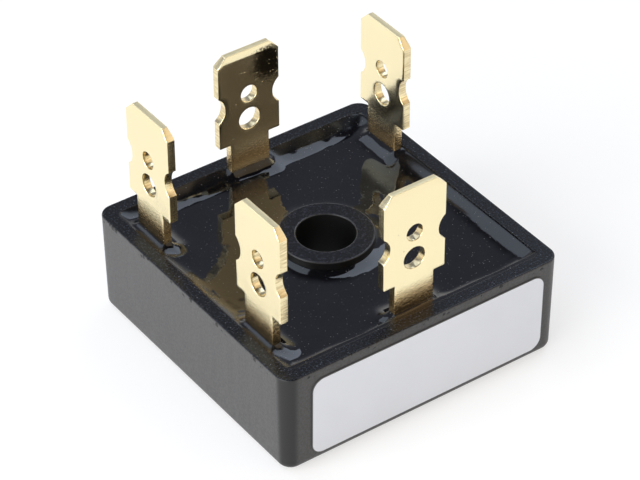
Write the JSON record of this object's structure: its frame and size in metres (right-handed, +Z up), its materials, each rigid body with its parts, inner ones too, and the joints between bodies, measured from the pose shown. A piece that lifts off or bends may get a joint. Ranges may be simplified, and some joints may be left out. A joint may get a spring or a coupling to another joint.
{
  "type": "three-phase bridge rectifier module",
  "caption": "Potted square three-phase bridge rectifier with push-on blade terminals and a central screw hole.",
  "frame": {"origin": "centre of the screw hole, at the underside of the base plate", "axes": "+Z up along the screw axis, towards the terminals; the label is on the -Y side; +X along the label"},
  "size_m": [0.0284, 0.0285, 0.0221],
  "materials": {
    "case_plastic": "fine satin moulding",
    "bushing_plastic": "satin moulding",
    "compound": "glossy cast resin",
    "label_film": "blank satin film",
    "plate_metal": "rolled, bare",
    "ceramic": "bare alumina",
    "copper": "bare copper strip",
    "silicon": "soldered die",
    "gold_plate": "bright gold-coloured plating"
  },
  "bodies": {
    "root": {"case": "case_plastic", "bushing": "bushing_plastic", "potting": "compound", "label": "label_film", "base_plate": "plate_metal", "insulator": "ceramic", "plus_bus": "copper", "minus_bus": "copper", "phase_strap_1": "copper", "phase_strap_2": "copper", "phase_strap_3": "copper", "plus_diode_1": "silicon", "plus_diode_2": "silicon", "plus_diode_3": "silicon", "minus_diode_1": "silicon", "minus_diode_2": "silicon", "minus_diode_3": "silicon", "ac_terminal_1": "gold_plate", "ac_terminal_2": "gold_plate", "ac_terminal_3": "gold_plate", "plus_terminal": "gold_plate", "minus_terminal": "gold_plate"}
  },
  "joints": []
}
